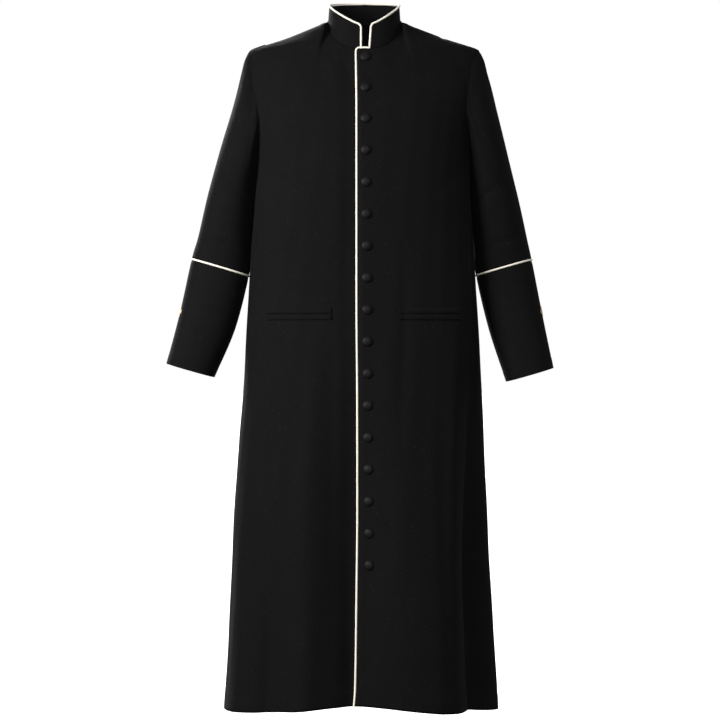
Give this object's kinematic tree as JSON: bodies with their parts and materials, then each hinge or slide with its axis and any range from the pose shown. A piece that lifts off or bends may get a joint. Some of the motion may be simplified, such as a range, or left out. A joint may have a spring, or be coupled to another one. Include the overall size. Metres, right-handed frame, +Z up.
{
  "type": "cassock",
  "caption": "Long black clerical cassock with a stand collar, a buttoned overlapping front, pale piping, welt pockets and deep cuffs, filled out as worn.",
  "frame": {"origin": "middle of the neck between the points where the shoulder seams meet the collar; the garment hangs a little askew, so the neck ring's own middle lies 4 mm to the wearer's left of it", "axes": "+Z up, the wearer faces -Y, and +X is the wearer's left"},
  "size_m": [0.798, 0.3236, 1.4694],
  "materials": {
    "cloth": "matt woven",
    "button_cloth": "soft satin cloth cover",
    "piping": "satin cord",
    "thread": "embroidered thread"
  },
  "bodies": {
    "root": {"front_left": "cloth", "front_right": "cloth", "back": "cloth", "collar": "cloth", "sleeve_left": "cloth", "sleeve_right": "cloth", "cuff_left": "cloth", "cuff_right": "cloth", "pocket_left_upper_welt": "cloth", "pocket_left_lower_welt": "cloth", "pocket_right_upper_welt": "cloth", "pocket_right_lower_welt": "cloth", "collar_piping": "piping", "front_edge_piping": "piping", "cuff_piping_left": "piping", "cuff_piping_right": "piping", "cuff_cross_left": "thread", "cuff_cross_right": "thread", "button_01": "button_cloth", "button_02": "button_cloth", "button_03": "button_cloth", "button_04": "button_cloth", "button_05": "button_cloth", "button_06": "button_cloth", "button_07": "button_cloth", "button_08": "button_cloth", "button_09": "button_cloth", "button_10": "button_cloth", "button_11": "button_cloth", "button_12": "button_cloth", "button_13": "button_cloth", "button_14": "button_cloth", "button_15": "button_cloth", "button_16": "button_cloth", "button_17": "button_cloth"}
  },
  "joints": []
}
